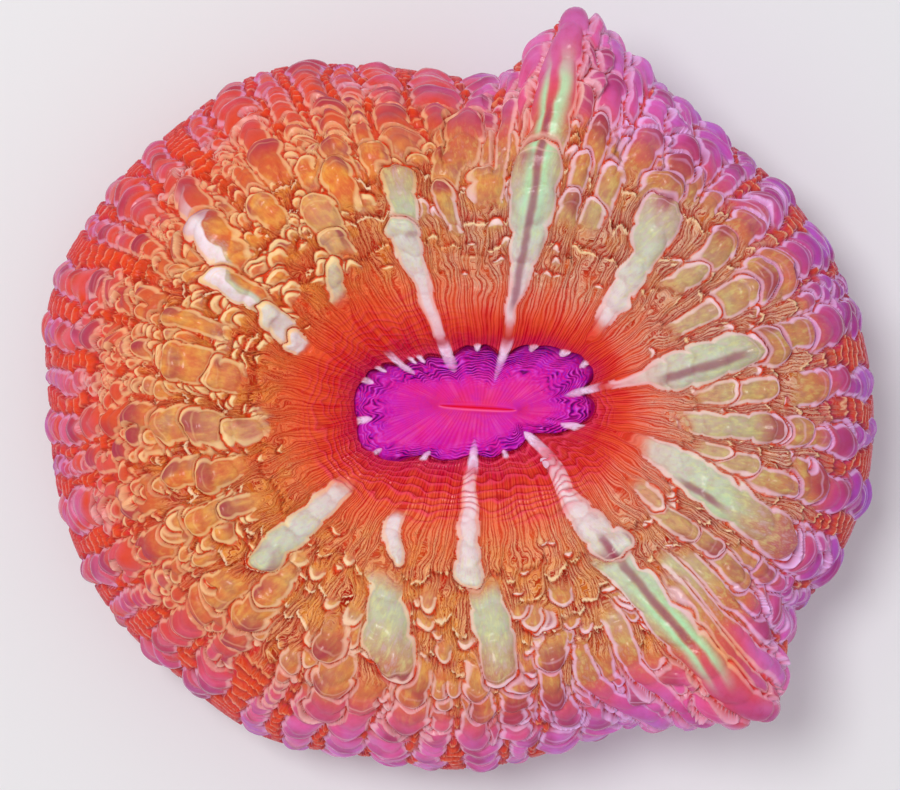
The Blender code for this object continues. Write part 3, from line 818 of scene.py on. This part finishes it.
def mantle_shape(nu, s):
    """Skin of the mantle and flank: pleats, then blisters, hoods and lobes laid over them."""
    points, normals, down, span = body(nu, slid(nu, s))
    plain = nu[None] + 0 * s
    turn, along = drifted(plain, s, span)
    wriggle = 0.65 * ripple(plain, s, 130, 2.8, 74) + 0.3 * ripple(plain, s, 300, 1.3, 75)
    lines = parted(nu, turn, along, s, span) + wriggle * smooth(3, 12, s) / span
    layers = pleats(lines, along, span, plain)
    layers["edge"] = 2.5 + 0 * s
    layers.update({key: 0 * s for key in ("lobe", "white", "tip", "blotch", "core", "tipness", "ring")})
    jagged, lump = ripple(plain, s, 140, 2.0, 41), ripple(plain, s, 70, 3.2, 42)
    noises = jagged, lump, smooth(-0.1, 0.4, ripple(plain, s, 90, 3.2, 43))
    for whiteness, dye, line in hoods() + bubbles() + strung():
        spot = spot_of(nu, s, span, line)
        if spot is not None:
            here = (turn[spot], along[spot], span[spot], *(n[spot] for n in noises))
            lay_lobe(layers, spot, *here, whiteness, dye, line)
    stripe, glow = 0 * s, 0 * s
    for nu0, s0, nu1, s1, aside, half, shine in STRIPES:
        a = np.radians(degrees_from(plain, np.interp(s, [s0, s1], [nu0, nu1]))) * span - aside
        run = smooth(s0, s0 + 3, s) * smooth(0.8, 1, layers["lobe"]) * smooth(0.1, 0.25, layers["edge"])
        a += 0.12 * jagged + 0.08 * ripple(plain, s, 260, 0.9, 44)
        stripe = np.maximum(stripe, np.exp(-((a / half) ** 4)) * run * (1 - smooth(s1 - 3, s1, s)))
        beyond = np.abs(a) - half - 0.35
        beside = np.exp(-((beyond / np.where(beyond > 0, 0.9, 0.3)) ** 2)) * run
        risen = smooth(0.3, 0.85, (s - s0) / (s1 - s0))
        glow = np.maximum(glow, shine * beside * risen * (1 - smooth(s1, s1 + 6, s)))
    uneven = ripple(plain, s, 18, 3, 52) - np.sin(plain - 0.5) * 0.6
    collar = (1 - smooth(-3.5, 0.5, s)) * smooth(-0.6, 0.4, uneven)
    folding = s / 1.2 + 0.9 * ripple(plain, s, 34, 3.4, 51) + 0.4 * ripple(plain, s, 110, 1.4, 54)
    fold = np.ceil(folding) - folding
    below = 1 - smooth(2.0, 6.0, s + 2 * ripple(plain, s, 24, 5, 55))
    collar = np.maximum(collar, below * smooth(0.1, 0.7, -np.sin(plain + 0.15)))
    leftward = smooth(0.1, 0.7, -np.cos(plain + 0.25)) * (1 - layers["lobe"])
    collar = np.maximum(collar, 0.45 * leftward * (1 - smooth(3.0, 8.0, s + 2 * ripple(plain, s, 30, 5, 53))))
    rise = layers["rise"] * smooth(EDGE_S, EDGE_S + 2.5, s)
    rise += 0.42 * fold**1.5 * (1 - smooth(0.86, 1.0, fold)) * collar * smooth(EDGE_S, EDGE_S + 1, s)
    tooth, tooth_height = teeth(plain, s, span)
    tooth *= 1 - smooth(0.5, 4, s - EDGE_S)
    rise += tooth_height - 1.0 * np.exp(-(((s - EDGE_S) / 0.25) ** 2)) * (1 - tooth)
    settle = 1 - smooth(70, 78, s)
    fading = 0.3 * horn(plain, *HORNS[0][:4]) + 0.6 * horn(plain, *HORNS[1][:4])
    # Paler skin over the top of the crown, partly painted light that makes up for that slope's darker
    # shading.
    lit_crown = 0.55 * np.exp(-((degrees_from(plain, 93) / 26) ** 2)) * smooth(26, 18, s)
    paleness = around(PALENESS, plain) - fading * smooth(20, 32, s) + lit_crown
    flow = TURN * layers["number"] / PLEAT_COUNT
    masks = {
        "reach": (s + 8 + 9 * folds(nu) * smooth(26, 36, s)) / 90, "edge": layers["edge"] / 2.5,
        "white": layers["white"] / 1.5, "stripe": stripe, "glow": glow, "tooth": tooth, "pale": paleness,
        # Painted highlight along the crest of each of the collar's terraces, and painted shade just below it.
        "ring_line": smooth(0.55, 0.8, fold) * collar, "under": smooth(0.3, 0.0, fold) * collar,
        "flow_x": np.cos(flow), "flow_y": np.sin(flow),
    }
    for key in ("lobe", "hem", "ring", "tip", "blotch", "shade", "core", "tipness", "merge"):
        masks[key] = layers[key]
    points = points + (rise * settle)[..., None] * normals + (layers["lean"] * settle)[..., None] * down
    points[..., 2] = np.maximum(points[..., 2], 0)
    return points, normals, masks


def skin_ring(name, s_rows, count, meets_coarser):
    """One ring of the mantle's skin between the first and last of s_rows, with count points round it. A wall
    WALL mm inside closes it, and its normals are those of the whole skin, so that rings meet without a line.
    Where the ring above has half as many points, meets_coarser puts every second point of the first row
    midway between its neighbours."""
    nu = np.linspace(0, TURN, count, endpoint=False)
    step = s_rows[1] - s_rows[0]
    reach = np.concatenate([[s_rows[0] - step], s_rows, [min(s_rows[-1] + step, CUT_S)]])
    points, normals, masks = mantle_shape(nu, np.repeat(reach[:, None], count, 1))
    down = points[2:] - points[:-2]
    across = (np.roll(points, -1, 1) - np.roll(points, 1, 1))[1:-1]
    shading = np.cross(down, across)
    shading /= np.linalg.norm(shading, axis=2)[..., None] + 1e-12
    points, normals = points[1:-1], normals[1:-1]
    masks = {key: value[1:-1] for key, value in masks.items()}
    if meets_coarser:
        for grid in (points, *masks.values()):
            grid[0, 1::2] = (grid[0, 0::2] + np.roll(grid[0, 0::2], -1, 0)) / 2
    inner = np.stack([points[-1] - WALL * normals[-1], points[0] - WALL * normals[0]])
    rings = np.concatenate([points, inner])
    masks = {key: np.concatenate([value, value[-1:], value[:1]]) for key, value in masks.items()}
    piece = closed_skin(name, rings, masks)
    vectors = np.concatenate([shading, -normals[-1:], -normals[:1]]).reshape(-1, 3)
    piece.data.normals_split_custom_set_from_vertices(vectors)
    return piece


class FleshPaint(Paint):
    """Paint for the flesh, with the values that its looks run on: reach from the mouth to the cut, pale from
    the golden side to the pale one, flow along a pleat, and between from the line where two pleats meet."""

    def __init__(self):
        super().__init__("mantle_flesh")
        _, ramp, _, mask, noise, math = self.tools
        self.fine = noise(1500)
        self.pale = mask("pale")
        self.even_reach = mask("reach")
        lowered = math("SUBTRACT", self.even_reach, 0.035)
        self.reach = math("MULTIPLY_ADD", noise(260, 3.0), 0.07, lowered)
        flow_x, flow_y = mask("flow_x"), mask("flow_y")
        slowly = math("MULTIPLY", self.even_reach, 0.5)
        self.flow = self.node("CombineXYZ", {0: flow_x, 1: flow_y, 2: slowly}).outputs[0]
        self.streak = noise(62, 3.0, 0.65, self.flow)
        angle = math("ARCTAN2", flow_y, flow_x)
        self.number = math("MULTIPLY_ADD", angle, PLEAT_COUNT / TURN, math("MULTIPLY", self.fine, 0.12))
        self.between = math("PINGPONG", self.number, 0.5)
        self.crinkle = math("PINGPONG", math("MULTIPLY", noise(50, 3.0, 0.55, self.flow), 8.0), 0.5)
        self.crinkled = ramp(self.reach, (0.12, 0), (0.2, 0.7), (0.4, 0.9), (0.48, 0.1))


def pleated_skin(paint):
    """Skin between the lobes: orange on one side and paler on the other, with painted highlights along the
    pleats, painted shade in the creases between them, and a crinkle of fine folds painted as highlight and
    shade."""
    mix, ramp, times, mask, noise, math = paint.tools
    reach, pale = paint.reach, paint.pale
    left = ramp(reach, (0.03, 206, 8, 90), (0.08, 222, 10, 24), (0.144, 236, 48, 16), (0.21, 232, 62, 12),
        (0.28, 214, 66, 10), (0.36, 216, 74, 12), (0.44, 224, 72, 12), (0.53, 236, 72, 16),
        (0.62, 234, 70, 20), (0.75, 218, 54, 34), (0.95, 204, 56, 76))
    right = ramp(reach, (0.03, 218, 12, 84), (0.08, 224, 16, 30), (0.12, 240, 64, 46), (0.16, 238, 104, 68),
        (0.21, 220, 112, 74), (0.36, 172, 80, 40), (0.43, 190, 70, 38), (0.5, 210, 60, 32),
        (0.62, 208, 54, 48), (0.75, 190, 50, 100), (0.95, 166, 56, 144))
    field = mix(pale, left, right)
    # Colours of painted highlight on the pleats' crests, cream on the pale side.
    crest_highlight = ramp(reach, (0.03, 232, 40, 110), (0.09, 232, 60, 50), (0.144, 255, 130, 76),
        (0.21, 250, 170, 108), (0.28, 246, 170, 104), (0.36, 232, 152, 92), (0.44, 238, 150, 108),
        (0.53, 248, 152, 140), (0.62, 246, 142, 170), (0.8, 236, 140, 210))
    cream = ramp(pale, (0.5, 252, 222, 172), (0.95, 230, 202, 184))
    cream = mix(ramp(reach, (0.1, 0), (0.18, 1)), (242, 92, 80), cream)
    crest_highlight = mix(math("MULTIPLY", pale, 0.9), crest_highlight, cream)
    # Colours of painted shade in the creases and fine grooves of the pleats.
    crease_shade = ramp(reach, (0.03, 140, 0, 44), (0.09, 180, 2, 14), (0.144, 198, 10, 0), (0.21, 190, 22, 0),
        (0.36, 170, 24, 0), (0.44, 192, 28, 4), (0.53, 224, 34, 20), (0.65, 212, 26, 50), (0.9, 180, 30, 100))
    brown = mix(ramp(reach, (0.14, 0), (0.24, 1)), (192, 14, 20), (150, 18, 6))
    crease_shade = mix(math("MULTIPLY", pale, 0.4), crease_shade, brown)
    crease_shade = mix(times(pale, ramp(reach, (0.4, 0), (0.5, 0.7))), crease_shade, (164, 26, 116))
    apart = ramp(reach, (0.03, 0.4), (0.1, 0.6), (0.22, 0.75), (0.3, 1), (0.4, 1), (0.46, 0))
    apart = times(mask("merge"), apart)
    # Painted highlight over the raised middle of each pleat, broken by streaks.
    beside = ramp(paint.between, (0.16, 0), (0.25, 1), (0.4, 1), (0.47, 0.4))
    beside = times(beside, ramp(paint.streak, (0.34, 0.45), (0.5, 1)), ramp(pale, (0.05, 0.4), (0.35, 1)))
    skin = mix(times(beside, ramp(reach, (0.06, 0.35), (0.13, 1), (0.4, 1), (0.47, 0.1))), field, crest_highlight)
    # Fine hair lines of painted shade, three to each pleat.
    fibre = math("PINGPONG", math("MULTIPLY", paint.number, 3.0), 0.5)
    hair = ramp(fibre, (0.0, 0.6), (0.24, 0))
    skin = mix(times(hair, ramp(reach, (0.36, 1), (0.46, 0))), skin, crease_shade)
    # Painted shade in the crease where two pleats meet.
    skin = mix(times(apart, ramp(paint.between, (0.16, 1), (0.28, 0))), skin, crease_shade)
    gold = ramp(reach, (0.16, 0), (0.24, 1), (0.4, 1), (0.46, 0))
    gold = times(ramp(noise(300), (0.44, 0), (0.58, 0.6)), gold, ramp(pale, (0.5, 1), (0.95, 0.4)))
    skin = mix(gold, skin, (240, 154, 48))
    # The crinkle's fine folds: a painted highlight beside a line of painted shade.
    upper = ramp(paint.crinkle, (0.1, 0), (0.22, 0.75), (0.4, 0))
    skin = mix(times(upper, paint.crinkled), skin, crest_highlight)
    skin = mix(times(ramp(paint.crinkle, (0.04, 1), (0.14, 0)), paint.crinkled), skin, crease_shade)
    band = ramp(noise(26, 2.0, 0.5, paint.flow), (0.4, 0), (0.6, 1))
    band = times(band, ramp(reach, (0.03, 0.1), (0.1, 0.45), (0.2, 0.35), (0.26, 0)))
    return mix(band, skin, (244, 100, 46))


def lobe_rim_light(paint):
    """The painted rim light of a lobe: cream on the golden side, and lilac on the pale side and down the
    flank.
    """
    ramp, reach, pale = paint.ramp, paint.reach, paint.pale
    rim = ramp(reach, (0.03, 250, 225, 250), (0.12, 250, 200, 205), (0.26, 254, 224, 216),
        (0.36, 248, 204, 222), (0.46, 248, 200, 255), (0.8, 244, 196, 255))
    warm_rim_light = ramp(reach, (0.12, 250, 170, 126), (0.24, 255, 224, 168), (0.37, 252, 206, 148),
        (0.5, 255, 194, 146), (0.62, 240, 166, 200), (0.75, 230, 156, 226))
    return paint.mix(ramp(pale, (0.25, 1), (0.6, 0)), rim, warm_rim_light)


def lobe_flesh(paint):
    """A lobe's flesh: pale near the mouth, then golden, and pink to violet down the flank. The whitest lobes
    are milky, and the plainest take on the colours of the skin beside them."""
    mix, ramp, times, mask, noise, math = paint.tools
    reach, pale = paint.reach, paint.pale
    flesh = ramp(reach, (0.03, 240, 195, 225), (0.09, 232, 150, 165), (0.16, 216, 206, 196),
        (0.24, 190, 216, 196), (0.32, 184, 202, 172), (0.385, 192, 124, 94), (0.44, 212, 84, 54),
        (0.52, 230, 76, 40), (0.65, 230, 68, 42), (0.8, 222, 66, 72))
    end = ramp(reach, (0.3, 196, 124, 92), (0.42, 196, 92, 70), (0.52, 186, 76, 104), (0.66, 182, 80, 156),
        (0.9, 166, 96, 220))
    pale_end = ramp(reach, (0.3, 170, 112, 124), (0.42, 166, 74, 118), (0.52, 160, 60, 156),
        (0.72, 146, 66, 196), (0.9, 120, 66, 222))
    end = mix(pale, end, pale_end)
    mottle = ramp(noise(480, 4.0, 0.6), (0.4, 0), (0.66, 1))
    yellow = ramp(reach, (0.16, 0), (0.24, 0.6), (0.36, 0.9), (0.43, 0.3), (0.5, 0))
    violet = times(ramp(pale, (0.14, 0), (0.38, 1)), ramp(reach, (0.42, 0), (0.54, 0.9)))
    orchid = ramp(pale, (0.22, 208, 72, 98), (0.36, 236, 98, 172), (0.75, 218, 92, 194), (1.0, 176, 52, 172))
    flesh = mix(violet, flesh, orchid)
    sooner = math("MULTIPLY_ADD", pale, 0.05, reach)
    cap = times(mask("tip"), ramp(sooner, (0.36, 0), (0.48, 0.95)), ramp(pale, (0.0, 0.55), (0.1, 1)))
    flesh = mix(cap, flesh, end)
    white = mask("white")
    whiten = ramp(reach, (0.05, 0.4), (0.12, 0.85), (0.2, 0.75), (0.3, 0.3), (0.42, 0))
    whiten = times(ramp(white, (0.5, 0), (0.66, 0.9)), whiten)
    whitest = times(ramp(white, (0.72, 0), (0.85, 0.95)), ramp(reach, (0.42, 1), (0.52, 0)))
    whiten = math("MAXIMUM", whiten, whitest)
    flesh = mix(whiten, flesh, (248, 234, 246))
    few = ramp(reach, (0.38, 1), (0.46, 0))
    plain = times(ramp(white, (0.1, 0.95), (0.3, 0.8), (0.56, 0.1)), few)
    tint = ramp(noise(240), (0.36, 226, 66, 8), (0.45, 232, 96, 14), (0.52, 240, 146, 46),
        (0.6, 202, 104, 66), (0.68, 178, 90, 114))
    tan = ramp(reach, (0.1, 230, 100, 82), (0.18, 206, 152, 120), (0.32, 176, 134, 92))
    tint = mix(times(mask("core"), 0.3), tint, (232, 150, 84))
    flesh = mix(plain, flesh, mix(math("MULTIPLY", pale, 0.7), tint, tan))
    whitish = ramp(white, (0.3, 0), (0.5, 1))
    olive = mix(whitish, (240, 172, 60), (220, 212, 140))
    olive = mix(pale, olive, (206, 192, 118))
    return mix(times(mottle, yellow, 0.3), flesh, olive)


def marked_flesh(paint, flesh, rim):
    """What shows in a lobe's flesh: flecks drawn out along it, a septum and the glow beside it, a violet
    bloom, a painted rim light round its edge that is broader on the flank's hoods, clouds, and a blotch at
    its tip."""
    mix, ramp, times, mask, noise, math = paint.tools
    reach, pale = paint.reach, paint.pale
    white, edge = mask("white"), mask("edge")
    whitish = ramp(white, (0.3, 0), (0.5, 1))
    centre = (DISC_CENTRE[0] * MM, DISC_CENTRE[1] * MM, 0)
    radial = paint.node("TexCoord").outputs["Object"]
    upward = paint.node("CombineXYZ", {2: math("MULTIPLY", paint.even_reach, 1.2)}).outputs[0]
    steps = ("SUBTRACT", centre), ("MULTIPLY", (1, 1, 0)), ("NORMALIZE", (0, 0, 0)), ("ADD", upward)
    for operation, value in steps:
        radial = paint.node("VectorMath", {0: radial, 1: value}, operation=operation).outputs[0]
    fleck = noise(60, 3.0, 0.6, radial)
    flecked = ramp(reach, (0.14, 0), (0.22, 0.7), (0.4, 0.7), (0.48, 0))
    flecked = times(flecked, ramp(white, (0.68, 1), (0.85, 0.3)))
    light_fleck = mix(whitish, mix(pale, (244, 184, 92), (214, 208, 122)), (224, 226, 150))
    flesh = mix(times(flecked, ramp(fleck, (0.5, 0), (0.66, 0.55))), flesh, light_fleck)
    dark_fleck = mix(whitish, mix(pale, (214, 100, 60), (166, 104, 100)), (212, 180, 190))
    flesh = mix(times(flecked, ramp(fleck, (0.34, 0.6), (0.47, 0))), flesh, dark_fleck)
    flesh = mix(times(mask("glow"), 0.85), flesh, (174, 242, 190))
    # Painted rim light round the lobe's edge.
    painted_rim_light = mix(0.55, flesh, rim)
    flesh = mix(ramp(edge, (0.05, 0.7), (0.26, 0)), flesh, painted_rim_light)
    bloom = ramp(pale, (0.0, 0.1), (0.15, 0.5), (0.26, 0.4), (0.4, 1), (0.85, 0.7))
    bloom = times(ramp(noise(170), (0.42, 0), (0.6, 0.65)), ramp(reach, (0.46, 0), (0.64, 1)), bloom)
    flesh = mix(bloom, flesh, mix(pale, (232, 150, 214), (182, 112, 236)))
    # Broader painted rim light on the hoods down the flank, strongest at their tips.
    soft = times(ramp(edge, (0.05, 0.8), (0.2, 0.45), (0.42, 0)), ramp(reach, (0.36, 0), (0.5, 1)))
    soft = times(soft, ramp(pale, (0.15, 0.75), (0.4, 1)), math("MULTIPLY_ADD", mask("tipness"), 0.8, 0.1))
    flesh = mix(soft, flesh, rim)
    cloud = ramp(noise(900, 3.0, 0.6), (0.34, 240, 206, 200), (0.5, 1), (0.66, 1.1))
    clouded = {0: 0.3, 6: flesh, 7: cloud}
    flesh = paint.node("Mix", clouded, data_type="RGBA", blend_type="MULTIPLY").outputs[2]
    flesh = mix(times(mask("stripe"), 0.75), flesh, (146, 68, 94))
    return mix(times(mask("blotch"), 0.75), flesh, (158, 40, 76))


def lined_flesh(paint, base, rim):
    """Painted shade in deep red under each lobe, below each tier and between the cords, then thin lines:
    painted highlights on the hems of pleats and cords, arcs behind a lobe's rim, a painted highlight and a
    red line of painted crease shade round it, painted highlight and shade on the collar's fine folds, and
    glassy teeth."""
    mix, ramp, times, mask, noise, math = paint.tools
    reach, pale = paint.reach, paint.pale
    lobe, at_tip, edge = mask("lobe"), mask("tipness"), mask("edge")
    # Painted shade, deep red and darker in streaks, under each lobe, below each tier and in the grooves
    # between cords.
    painted_shade = ramp(reach, (0.1, 222, 18, 10), (0.2, 214, 34, 6), (0.4, 208, 38, 6), (0.55, 228, 46, 38),
        (0.8, 220, 50, 100))
    painted_shade = mix(times(pale, ramp(reach, (0.38, 0), (0.5, 0.8))), painted_shade, (178, 34, 132))
    painted_shade = mix(ramp(paint.streak, (0.4, 0), (0.56, 0.7)), painted_shade, (122, 14, 10))
    base = mix(times(mask("shade"), 0.9), base, painted_shade)
    # Colours of the painted highlight on the hems of tiers and the crests of cords.
    hem_highlight = ramp(reach, (0.14, 246, 140, 84), (0.22, 255, 214, 160), (0.34, 255, 222, 184),
        (0.44, 250, 180, 128), (0.55, 248, 146, 104), (0.8, 236, 120, 130))
    lilac_hem_highlight = ramp(reach, (0.4, 255, 214, 170), (0.54, 252, 190, 150), (0.66, 230, 130, 180))
    lilac = times(ramp(pale, (0.4, 0), (0.8, 1)), ramp(reach, (0.36, 0), (0.42, 1)))
    hem_highlight = mix(lilac, hem_highlight, lilac_hem_highlight)
    ring = mask("ring")
    arc = ramp(math("PINGPONG", ring, ARC_PITCH / 2), (0.4, 0), (0.52, 1))
    arc = times(arc, at_tip, ramp(math("MULTIPLY", ring, 0.2), (0.1, 0.7), (0.8, 0)), lobe)
    colour = mix(arc, base, rim)
    # Painted highlight in a thin line just inside each lobe's outline, strongest at its tip.
    edge_highlight = ramp(edge, (0.035, 0), (0.075, 1), (0.15, 1), (0.25, 0))
    edge_highlight = times(edge_highlight, math("MULTIPLY_ADD", at_tip, 0.45, 0.55), lobe)
    colour = mix(edge_highlight, colour, rim)
    # Red of the painted crease shade at each tier's step and round each lobe.
    hot = mix(ramp(reach, (0.4, 0), (0.6, 1)), (240, 70, 20), (236, 58, 66))
    hem = mask("hem")
    colour = mix(ramp(hem, (0.02, 0.9), (0.1, 0)), colour, hot)
    # Painted highlight along each tier's hem and each cord's crest.
    hem = ramp(hem, (0.06, 0), (0.13, 1), (0.24, 0.85), (0.38, 0))
    colour = mix(hem, colour, mix(lobe, hem_highlight, rim))
    # A red line of painted crease shade where each lobe meets the skin around it.
    dark = ramp(edge, (0.0, 0.9), (0.025, 0.8), (0.05, 0))
    colour = mix(times(dark, math("MULTIPLY_ADD", at_tip, 0.4, 0.6)), colour, hot)
    # Painted shade below each collar terrace, then a painted highlight along its crest.
    colour = mix(times(mask("under"), 0.7), colour, (176, 0, 30))
    colour = mix(times(mask("ring_line"), 0.6), colour, (248, 74, 112))
    glassy = ramp(noise(420, 3.0), (0.36, 0.6), (0.56, 1))
    return mix(times(mask("tooth"), glassy), colour, (244, 214, 246))


def flesh_material():
    """Wet translucent flesh: lobes over pleated skin, lines, painted highlights and painted shade over both,
    gloss, and fine relief.
    """
    paint = FleshPaint()
    mix, ramp, times, mask, _, math = paint.tools
    reach, lobe, rim = paint.reach, mask("lobe"), lobe_rim_light(paint)
    flesh = marked_flesh(paint, lobe_flesh(paint), rim)
    solid = math("MAXIMUM", ramp(reach, (0.1, 0.15), (0.2, 1)), mask("core"))
    base = mix(times(lobe, solid), pleated_skin(paint), flesh)
    colour = lined_flesh(paint, base, rim)
    wet = ramp(paint.fine, (0.3, 0.16), (0.7, 0.26))
    groove = times(ramp(paint.between, (0.0, 0), (0.2, 0.8), (0.5, 1)), ramp(reach, (0.4, 1), (0.48, 0)))
    ridges = math("ADD", times(paint.crinkled, ramp(paint.crinkle, (0.0, 0), (0.3, 1))), groove)
    shown = math("MULTIPLY_ADD", lobe, -0.5, 0.5)
    relief = math("MULTIPLY_ADD", ridges, shown, math("MULTIPLY", paint.fine, 0.2))
    paint.shader["Specular IOR Level"].default_value = 0.15
    paint.shader["Subsurface Weight"].default_value = 0.15
    paint.shader["Subsurface Radius"].default_value = (1.0, 0.35, 0.3)
    paint.shader["Subsurface Scale"].default_value = 0.0012
    return paint.finished(colour, wet, relief, 0.5, 0.0003)


flesh = flesh_material()
# Rings of the skin: first and last s, rows, and points round. The collar has half as many as the rest.
BANDS = [
    ("collar", EDGE_S, 9.0, 98, 660), ("mantle_inner", 9.0, 21.0, 58, 1320),
    ("mantle_outer", 21.0, 33.0, 58, 1320), ("flank_upper", 33.0, 49.0, 58, 1320),
    ("flank_lower", 49.0, 66.0, 58, 1320), ("foot", 66.0, CUT_S, 20, 1320),
]
for name, first, last, rows, count in BANDS:
    piece = skin_ring(name, np.linspace(first, last, rows), count, name == "mantle_inner")
    piece.data.materials.append(flesh)
    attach(piece, "root")
    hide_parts("polyp")


# -------------------------------------------------------------------------------------------------- cut face
# Where the coral was sawn from its stone: a flat face of cream skeleton inside the rim of flesh. Thin
# walls, the septa, run in from the edge to a spongy centre, with pits between them.

SLAB = 2.4
CUT_INSET = 1.0
PIT_DEPTH = 0.9
CENTRE_DEPTH = 0.4
# Septa: how many, how far out they begin (share of the radius), and half their thickness in mm.
SEPTA = [(12, 0.1, 0.7), (24, 0.3, 0.55), (48, 0.5, 0.45), (96, 0.76, 0.35)]


def cut_mesh(count=720, rows=24):
    """A closed slab. Its underside lies on z = 0 where the septa and the outer wall are, and is hollowed
    by PIT_DEPTH between them."""
    nu = np.linspace(0, TURN, count, endpoint=False)
    outline = body(nu, np.full((1, count), CUT_S))[0][0]
    centre = np.array([*RIM_CENTRE, 0.0])
    radius = np.linalg.norm(outline - centre, axis=1)
    outer = 1 - CUT_INSET / radius
    down = outer * np.concatenate([[0.5, 1.0], np.linspace(1, 0.04, rows)])[:, None]
    plain, far = nu[None] + 0 * down, 60 * down
    spongy = smooth(0.4, 0.7, 0.5 + 0.5 * ripple(plain, far, 40, 1.6, 91))
    wall = smooth(0.93, 0.97, down) + spongy * (down < 0.16)
    for number, first, half in SEPTA:
        turn = nu[None] * number / TURN + 0.12 * ripple(plain, far, 60, 9, 92)
        aside = np.abs((turn + 0.5) % 1 - 0.5) / number * TURN * radius * down
        wall = np.maximum(wall, np.exp(-((aside / half) ** 4)) * smooth(first, first + 0.06, down))
    wall = np.clip(wall, 0, 1)
    rings = centre + (outline - centre) * down[..., None]
    rings[..., 2] = PIT_DEPTH * (1 - wall)
    rings[:2, :, 2] = SLAB
    poles = np.array([[*RIM_CENTRE, SLAB], [*RIM_CENTRE, CENTRE_DEPTH]])
    return closed_skin("cut_face", rings, {"wall": wall}, poles)


def stone_material():
    """Sawn coral skeleton: cream on the septa, browner and rougher in the pits, with fine pores."""
    paint = Paint("cut_stone")
    mix, ramp, noise = paint.mix, paint.ramp, paint.noise
    pores = noise(2600, 3.0, 0.6)
    cream = mix(noise(120, 3.0), (214, 196, 164), (244, 236, 216))
    colour = mix(ramp(paint.mask("wall"), (0.2, 1), (0.8, 0)), cream, (158, 126, 94))
    colour = mix(ramp(pores, (0.36, 0.8), (0.46, 0)), colour, (136, 108, 80))
    return paint.finished(colour, ramp(pores, (0.3, 0.95), (0.7, 0.75)), pores, 0.6, 0.0003)


cut_face = cut_mesh()
cut_face.data.materials.append(stone_material())
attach(cut_face, "root")
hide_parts("polyp")


# ----------------------------------------------------------------------------------------------------- stage
# A plain pale floor, a soft white sky and one large lamp near overhead, and a camera straight above the
# coral. None of them belongs to the part.

FLOOR_HALF = 1.5
floor_mesh = bpy.data.meshes.new("floor")
corners = [(x * FLOOR_HALF, y * FLOOR_HALF, 0) for x, y in ((-1, -1), (1, -1), (1, 1), (-1, 1))]
floor_mesh.from_pydata(corners, [], [(0, 1, 2, 3)])
floor = bpy.data.objects.new("floor", floor_mesh)
bpy.context.scene.collection.objects.link(floor)
paint = Paint("floor_paint")
paint.shader["Base Color"].default_value = (0.82, 0.82, 0.84, 1)
paint.shader["Roughness"].default_value = 0.8
floor_mesh.materials.append(paint.material)
floor.location.z = -0.0002

world = bpy.data.worlds.new("sky")
bpy.context.scene.world = world
world.use_nodes = True
world.node_tree.nodes["Background"].inputs["Color"].default_value = (1, 1, 1, 1)
world.node_tree.nodes["Background"].inputs["Strength"].default_value = 0.6

lamp_data = bpy.data.lights.new("soft_lamp", "AREA")
lamp_data.shape = "DISK"
lamp_data.size = 0.2
lamp_data.energy = 2.5
lamp = bpy.data.objects.new("soft_lamp", lamp_data)
lamp.location = (-0.15, 0.1, 0.75)
lamp.rotation_euler = (-0.13, -0.2, 0)
bpy.context.scene.collection.objects.link(lamp)

camera_data = bpy.data.cameras.new("camera")
camera_data.lens = 132.2
camera_data.clip_start = 0.01
camera = bpy.data.objects.new("camera", camera_data)
camera.location = (0, 0, 0.5)
bpy.context.scene.collection.objects.link(camera)
bpy.context.scene.camera = camera

bpy.context.scene.view_settings.view_transform = "Standard"
